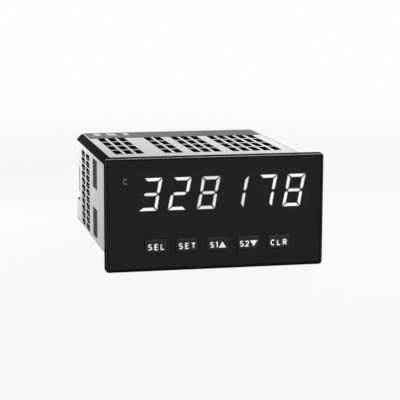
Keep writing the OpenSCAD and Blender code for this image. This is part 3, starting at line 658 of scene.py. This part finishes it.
def board_finish():
    """Green solder mask over copper tracks, with a fibre weave under it."""
    finish = Finish("board", specular=0.2)
    tracks = finish.add(
        "ShaderNodeTexBrick",
        Vector=finish.place,
        Scale=1 / TRACK_CELL,
        Mortar_Size=0.045,
        Mortar_Smooth=0.1,
        Row_Height=0.16,
    ).outputs["Fac"]
    weave = finish.noise(FIBRE, 3)
    finish.set("Base Color", finish.mix(tracks, finish.mix(weave, *MASK_GREENS), TRACK_GREEN))
    finish.set("Roughness", finish.spread(weave, *BOARD_GLOSS))
    finish.bumpy(tracks, TRACK_DEPTH)
    return finish


LEAD_TONE = 0.6
LEAD_TOP = (0.18 * MM, 0.22 * MM)
EPOXY_TONES = (0.010, 0.018)
EPOXY_GRAIN = 0.2 * MM
EPOXY_DEPTH = 0.008 * MM
EPOXY_GLOSS = (0.4, 0.6)


def chip_finish():
    """Black epoxy bodies on tinned leads: what lies below the body is lead."""
    finish = Finish("chip", specular=0.35)
    foot = low("microcontroller").z
    body = finish.between(finish.z, *(foot + top for top in LEAD_TOP))
    grains = finish.noise(EPOXY_GRAIN, 3)
    epoxy = finish.mix(grains, *map(grey, EPOXY_TONES))
    finish.set("Base Color", finish.mix(body, grey(LEAD_TONE), epoxy))
    finish.set("Metallic", finish.between(body, 0, 1, 1, 0))
    finish.set("Roughness", finish.spread(grains, *EPOXY_GLOSS))
    finish.bumpy(grains, EPOXY_DEPTH)
    return finish


SHEET_WAVE = 3.2 * MM
SHEET_DEPTH = 0.05 * MM
SHEET_GAP_TONE = 0.10
STEEL_TONES = ((0.20, 0.19, 0.18, 1), (0.38, 0.37, 0.36, 1))
STEEL_STAIN = 4 * MM
STEEL_GLOSS = (0.35, 0.55)


def core_finish():
    """Stacked steel laminations, varnished."""
    finish = Finish("core", metallic=1.0)
    sheets = finish.add(
        "ShaderNodeTexWave",
        {"wave_type": "BANDS", "bands_direction": "Y"},
        Vector=finish.place,
        Scale=1 / SHEET_WAVE,
        Distortion=0.4,
        Detail_Scale=40.0,
    ).outputs["Fac"]
    stain = finish.noise(STEEL_STAIN, 4)
    bright = finish.mix(stain, *STEEL_TONES)
    finish.set("Base Color", finish.mix(sheets, grey(SHEET_GAP_TONE), bright))
    finish.set("Roughness", finish.spread(stain, *STEEL_GLOSS))
    finish.bumpy(sheets, SHEET_DEPTH)
    return finish


TAPE_WAVE = 22 * MM
TAPE_DEPTH = 0.10 * MM
TAPE_YELLOWS = ((0.55, 0.34, 0.03, 1), (0.70, 0.48, 0.07, 1))
TAPE_GLOSS = (0.32, 0.45)


def winding_finish():
    """Enamelled wire under overlapping turns of yellow tape."""
    finish = Finish("winding", specular=0.4)
    turns = finish.add(
        "ShaderNodeTexWave",
        {"wave_type": "BANDS", "bands_direction": "Z", "wave_profile": "SAW"},
        Vector=finish.place,
        Scale=1 / TAPE_WAVE,
        Distortion=0.6,
        Detail=2.0,
    ).outputs["Fac"]
    finish.set("Base Color", finish.mix(turns, *TAPE_YELLOWS))
    finish.set("Roughness", finish.between(turns, 0, 1, *TAPE_GLOSS))
    finish.bumpy(turns, TAPE_DEPTH)
    return finish


SLEEVE_BLUES = ((0.012, 0.016, 0.045, 1), (0.022, 0.028, 0.07, 1))
SLEEVE_CLOUD = 2 * MM
SLEEVE_DEPTH = 0.02 * MM
SLEEVE_GLOSS = (0.25, 0.38)
CAN_TONE = 0.62
CAN_RIM = (0.35 * MM, 0.25 * MM)


def capacitor_finish():
    """Dark sleeve over an aluminium can, which shows at the top."""
    finish = Finish("capacitor", specular=0.5)
    top = high("capacitors").z
    can = finish.between(finish.z, *(top - rim for rim in CAN_RIM))
    cloud = finish.noise(SLEEVE_CLOUD, 3)
    sleeve = finish.mix(cloud, *SLEEVE_BLUES)
    finish.set("Base Color", finish.mix(can, sleeve, grey(CAN_TONE)))
    finish.set("Metallic", can)
    finish.set("Roughness", finish.spread(cloud, *SLEEVE_GLOSS))
    finish.bumpy(cloud, SLEEVE_DEPTH)
    return finish


# Light and ink

GLOW = "glow"
LIT_STRENGTH = 1 / WINDOW_TINT
LIT_TONES = (0.72, 0.80)
LIT_GRAIN = 0.35 * MM
LIT_DEPTH = 0.01 * MM


def lit_finish():
    """A lit diffuser: bright along the middle of each segment, dimmer at its border."""
    finish = Finish("lit", roughness=0.4)
    glow = finish.add("ShaderNodeAttribute", {"attribute_name": GLOW}).outputs["Fac"]
    grains = finish.noise(LIT_GRAIN, 2)
    finish.set("Base Color", finish.mix(grains, *map(grey, LIT_TONES)))
    finish.set("Emission Color", WHITE)
    finish.set("Emission Strength", finish.math("MULTIPLY", glow, LIT_STRENGTH))
    finish.bumpy(grains, LIT_DEPTH)
    return finish


INK_THIN = 0.9
INK_GRAIN = 0.18 * MM
INK_DEPTH = 0.004 * MM


def print_finish(name, tone, glow=0.0):
    """Screen-printed ink, slightly uneven, which may glow: the lamp's light on the lamp glyph,
    a painted glow on the key legends.
    """
    finish = Finish(name, roughness=0.55, specular=0.3)
    grains = finish.noise(INK_GRAIN, 3)
    finish.set("Base Color", finish.mix(grains, grey(tone * INK_THIN), grey(tone)))
    finish.set("Emission Color", WHITE)
    finish.set("Emission Strength", glow)
    finish.bumpy(grains, INK_DEPTH)
    return finish


# Which node has which finish

HARD_MOULDINGS = {
    # finish: (nodes, tone, roughness, specular level)
    "digit": (DIGITS, 0.002, 0.8, 0.0),
    "dark": (["dark_segments"], 0.005, 0.6, 0.03),
    "lamp": (["channel_lamp"], 0.003, 0.8, 0.02),
    "connector": (["board_header", "option_sockets", "terminal_headers"], 0.016, 0.45, 0.35),
    "base": (["rear_base"], 0.10, 0.5, 0.3),
    "terminal": (["signal_terminals", "power_terminals"], 0.02, 0.42, 0.35),
}
FINE_MOULDINGS = {
    # the same, for the finer grain of the keys and the rubber
    "key": ([f"{k}_key" for k in KEYS], 0.027, 0.45, 0.12),
    "contact": ([f"{k}_contact" for k in KEYS], 0.008, 0.72, 0.15),
    "mat": (["keypad_mat"], 0.035, 0.72, 0.2),
}
PLATINGS = {
    # finish: (nodes, colour, roughness)
    "pin": (["input_jumpers"], (0.72, 0.56, 0.28), 0.28),
    "screw": (["terminal_screws", "board_screws"], grey(0.62), 0.28),
    "clamp": (["wire_clamps"], (0.55, 0.54, 0.50), 0.36),
}


def dress(names, finish):
    """Gives CAD nodes a finish."""
    for name in names:
        slots = nodes[name].data.materials
        slots.clear()
        slots.append(finish.material)


def dress_nodes():
    """Gives every CAD node its finish."""
    dress(["bezel"], bezel_finish())
    dress(["front_window"], window_finish())
    dress(["panel_gasket"], foam_finish())
    dress(["case"], case_finish())
    dress(["rear_label"], label_finish())
    dress(["display_board", "main_board"], board_finish())
    dress(["microcontroller", "logic_chips"], chip_finish())
    dress(["transformer_core"], core_finish())
    dress(["transformer_winding"], winding_finish())
    dress(["capacitors"], capacitor_finish())
    for name, (names, *look) in HARD_MOULDINGS.items():
        dress(names, moulded(name, *look))
    for name, (names, *look) in FINE_MOULDINGS.items():
        dress(names, moulded(name, *look, FINE_GRAIN, FINE_DEPTH))
    for name, (names, *look) in PLATINGS.items():
        dress(names, plated(name, *look))


# Added pieces: the lit segments with a bright core, and all print


def new_piece(name, mesh, finish, body):
    """Puts a mesh in the scene as a piece that rides on a CAD body."""
    piece = bpy.data.objects.new(name, mesh)
    bpy.context.scene.collection.objects.link(piece)
    mesh.materials.clear()
    mesh.materials.append(finish.material)
    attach(piece, body)
    return piece


SEGMENT_BORDERS = ((0.19 * MM, 0.30), (0.30 * MM, 1.0))  # width, and the glow inside it
BORDER_GLOW = 0.02
SIDE_GLOW = 0.0
DIGIT_GLOW = (1.0, 1.0, 0.82, 0.80, 1.0, 1.0)
WELD = 0.001 * MM
FLAT_TURN = math.radians(1)
FACE_TOLERANCE = 0.01 * MM


def digit_at(x):
    """Which digit lies at x."""
    return min(range(len(DIGITS)), key=lambda n: abs(middle(DIGITS[n]).x - x))


def make_lit_segments():
    """The lit segments again, each face with a bright core inside two dimmer borders."""
    mesh = bpy.data.meshes.new("segment_glow")
    made = bmesh.new()
    made.from_mesh(nodes["lit_segments"].data)
    bmesh.ops.remove_doubles(made, verts=made.verts, dist=WELD)
    bmesh.ops.dissolve_limit(
        made, angle_limit=FLAT_TURN, verts=made.verts, edges=made.edges
    )
    glow = made.verts.layers.float.new(GLOW)
    front = low("lit_segments").y
    faces = [
        f for f in made.faces if abs(f.calc_center_median().y - front) < FACE_TOLERANCE
    ]
    for vert in made.verts:
        vert[glow] = BORDER_GLOW
    for width, share in SEGMENT_BORDERS:
        bmesh.ops.inset_individual(made, faces=faces, thickness=width)
        for face in faces:
            level = DIGIT_GLOW[digit_at(face.calc_center_median().x)]
            for vert in face.verts:
                vert[glow] = share * level
    for vert in made.verts:
        if vert.co.y > front + FACE_TOLERANCE:
            vert[glow] = SIDE_GLOW
    made.to_mesh(mesh)
    made.free()
    piece = new_piece("segment_glow", mesh, lit_finish(), HOUSING)
    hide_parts("lit_segments")


INK_T = 0.03 * MM


def slab(made, outline):
    """Adds a thin plate of ink with the given XZ outline, half of it behind y = 0."""
    front = [made.verts.new((x, -INK_T / 2, z)) for x, z in outline]
    back = [made.verts.new((x, INK_T / 2, z)) for x, z in outline]
    made.faces.new(front)
    made.faces.new(reversed(back))
    for n in range(len(outline)):
        m = (n + 1) % len(outline)
        made.faces.new((front[m], front[n], back[n], back[m]))


def make_print(name, made, where, finish, body):
    """Turns slabs of ink into a piece, put in its place by a matrix."""
    bmesh.ops.recalc_face_normals(made, faces=made.faces)
    bmesh.ops.transform(made, matrix=where, verts=made.verts)
    mesh = bpy.data.meshes.new(name)
    made.to_mesh(mesh)
    made.free()
    new_piece(name, mesh, finish, body)


def arc(x, z, radius_x, radius_z, start, end, steps=14):
    """Points along an ellipse, from one angle in degrees to another."""
    turns = [math.radians(start + (end - start) * n / steps) for n in range(steps + 1)]
    return [(x + radius_x * math.cos(t), z + radius_z * math.sin(t)) for t in turns]


def ring(x, z, radius_x, radius_z):
    """A whole ellipse as two strokes."""
    return [arc(x, z, radius_x, radius_z, a, a + 180) for a in (90, 270)]


GLYPHS = {
    # letter: (width, strokes), with the strokes' middle lines in a cell of height 1
    "S": (0.62, [
        arc(0.31, 0.76, 0.28, 0.24, 35, 270) + arc(0.31, 0.26, 0.31, 0.26, 90, -145)[1:],
    ]),
    "E": (0.58, [[(0.56, 1), (0, 1), (0, 0), (0.58, 0)], [(0, 0.52), (0.50, 0.52)]]),
    "L": (0.54, [[(0, 1), (0, 0), (0.54, 0)]]),
    "T": (0.68, [[(0, 1), (0.68, 1)], [(0.34, 1), (0.34, 0)]]),
    "C": (0.66, [arc(0.37, 0.5, 0.37, 0.5, 46, 314)]),
    "R": (0.62, [
        [(0, 0), (0, 1), (0.34, 1)]
        + arc(0.34, 0.75, 0.25, 0.25, 80, -80)
        + [(0.34, 0.5), (0, 0.5)],
        [(0.34, 0.5), (0.62, 0)],
    ]),
    "1": (0.26, [[(0, 0.78), (0.26, 1), (0.26, 0)]]),
    "2": (0.60, [arc(0.30, 0.71, 0.29, 0.29, 170, -32) + [(0, 0), (0.60, 0)]]),
    "3": (0.60, [
        arc(0.29, 0.76, 0.27, 0.24, 150, -90),
        arc(0.29, 0.26, 0.31, 0.26, 90, -150),
    ]),
    "4": (0.64, [[(0.46, 0), (0.46, 1)], [(0.46, 1), (0, 0.30), (0.64, 0.30)]]),
    "5": (0.60, [
        [(0.56, 1), (0.08, 1), (0.04, 0.55)],
        arc(0.28, 0.33, 0.32, 0.33, 140, -145),
    ]),
    "6": (0.62, ring(0.31, 0.31, 0.31, 0.31) + [arc(0.60, 0.31, 0.60, 0.69, 180, 108)]),
    "7": (0.60, [[(0, 1), (0.60, 1), (0.20, 0)]]),
    "8": (0.62, ring(0.31, 0.76, 0.26, 0.24) + ring(0.31, 0.26, 0.31, 0.26)),
    "9": (0.62, ring(0.31, 0.69, 0.31, 0.31) + [arc(0.02, 0.69, 0.60, 0.69, 0, -72)]),
    "0": (0.62, ring(0.31, 0.5, 0.31, 0.5)),
}


def stroke(made, path, width):
    """Adds a printed stroke of even width along an open path in the XZ plane."""
    points = [Vector(p) for p in path]
    left, right = [], []
    for n, point in enumerate(points):
        before = (point - points[n - 1]).normalized() if n else None
        after = (points[n + 1] - point).normalized() if n + 1 < len(points) else None
        along = ((before or after) + (after or before)).normalized()
        across = Vector((-along.y, along.x))
        reach = width / 2 / along.dot(before or after)
        left.append(tuple(point + across * reach))
        right.append(tuple(point - across * reach))
    slab(made, left + right[::-1])


def words_width(words, height, width, gap):
    """How wide print_words makes the words."""
    return sum(GLYPHS[c][0] * (height - width) + width + gap for c in words) - gap


def print_words(made, words, height, width, gap, left=0.0):
    """Adds words of an outer height in strokes of a width, starting at left."""
    cell = height - width
    for letter in words:
        span, paths = GLYPHS[letter]
        for path in paths:
            start = left + width / 2
            stroke(made, [(start + x * cell, (z - 0.5) * cell) for x, z in path], width)
        left += span * cell + width + gap


LETTER_H = 2.7 * MM
STROKE = 0.50 * MM
LETTER_GAP = 0.94 * MM
FIGURE_GAP = 0.55 * MM
ARROW_W = 3.3 * MM
ARROW_GAP = 0.40 * MM
LEGEND_DROP = 0.35 * MM
PRINT_TONE = 0.90
# Painted glow: the key legends give off light though no lamp lies behind them.
LEGEND_PAINTED_GLOW = 0.35
LEGENDS = {
    # key: (words, +1 for an arrow up, -1 for down)
    "display": ("SEL", 0),
    "parameter": ("SET", 0),
    "up": ("S1", 1),
    "down": ("S2", -1),
    "reset": ("CLR", 0),
}


def make_legends():
    """The printed word, or figure and arrow, on each key."""
    finish = print_finish("print", PRINT_TONE, LEGEND_PAINTED_GLOW)
    for key, (words, arrow) in LEGENDS.items():
        made = bmesh.new()
        size = (LETTER_H, STROKE, FIGURE_GAP if arrow else LETTER_GAP)
        print_words(made, words, *size)
        right = words_width(words, *size)
        if arrow:
            start = right + ARROW_GAP
            right = start + ARROW_W
            half = LETTER_H / 2 * arrow
            slab(made, [(start, -half), (right, -half), (start + ARROW_W / 2, half)])
        cap = middle(f"{key}_key")
        face = low(f"{key}_key").y
        where = Matrix.Translation((cap.x - right / 2, face, cap.z - LEGEND_DROP))
        make_print(f"{key}_legend", made, where, finish, f"{key}_button")


LAMP_GLYPH = "C"
LAMP_GLYPH_SIZE = (2.5 * MM, 0.32 * MM, 0.0)  # height, stroke and gap
LAMP_GLYPH_TONE = 0.28
LAMP_GLOW = 1.75


def make_lamp_glyph():
    """The dim letter on the lamp's face."""
    made = bmesh.new()
    print_words(made, LAMP_GLYPH, *LAMP_GLYPH_SIZE)
    spot = middle("channel_lamp")
    left = spot.x - words_width(LAMP_GLYPH, *LAMP_GLYPH_SIZE) / 2
    where = Matrix.Translation((left, low("channel_lamp").y, spot.z))
    finish = print_finish("lamp_print", LAMP_GLYPH_TONE, LAMP_GLOW)
    make_print("lamp_glyph", made, where, finish, HOUSING)


POLE_PITCH = 5.08 * MM
POLES = {"power_terminals": 2, "signal_terminals": 9}
NUMBER_SIZE = (2.0 * MM, 0.26 * MM, 0.24 * MM)  # height, stroke and gap
NUMBER_RISE = 2.1 * MM
NUMBER_TONE = 0.60


def make_terminal_numbers():
    """A number over each terminal, counted from the left as seen from behind."""
    made = bmesh.new()
    number = 0
    for block, poles in POLES.items():
        first = -middle(block).x - (poles - 1) / 2 * POLE_PITCH
        for n in range(poles):
            number += 1
            left = first + n * POLE_PITCH - words_width(str(number), *NUMBER_SIZE) / 2
            print_words(made, str(number), *NUMBER_SIZE, left)
    place = (0, high("rear_base").y, high("signal_terminals").z + NUMBER_RISE)
    where = Matrix.Translation(place) @ Matrix.Rotation(math.pi, 4, "Z")
    finish = print_finish("number_print", NUMBER_TONE)
    make_print("terminal_numbers", made, where, finish, HOUSING)


LABEL_FIELDS = ((-38.4, -35.1), (-32.0, -27.3), (-23.7, -21.2))  # left and right in mm
LABEL_FIELD_FRONT = 92.6 * MM
LABEL_FIELD_BACK = 101.0 * MM


def make_label_fields():
    """Three pale fields on the label film."""
    made = bmesh.new()
    for left, right in LABEL_FIELDS:
        slab(made, [
            (left * MM, LABEL_FIELD_BACK),
            (right * MM, LABEL_FIELD_BACK),
            (right * MM, LABEL_FIELD_FRONT),
            (left * MM, LABEL_FIELD_FRONT),
        ])
    lie_down = Matrix.Rotation(-math.pi / 2, 4, "X")
    where = Matrix.Translation((0, 0, high("rear_label").z)) @ lie_down
    make_print("label_fields", made, where, field_finish(), HOUSING)


make_camera()
make_world()
make_floor()
make_lamps()
dress_nodes()
make_lit_segments()
make_legends()
make_lamp_glyph()
make_terminal_numbers()
make_label_fields()

bpy.context.scene.view_settings.view_transform = "Standard"
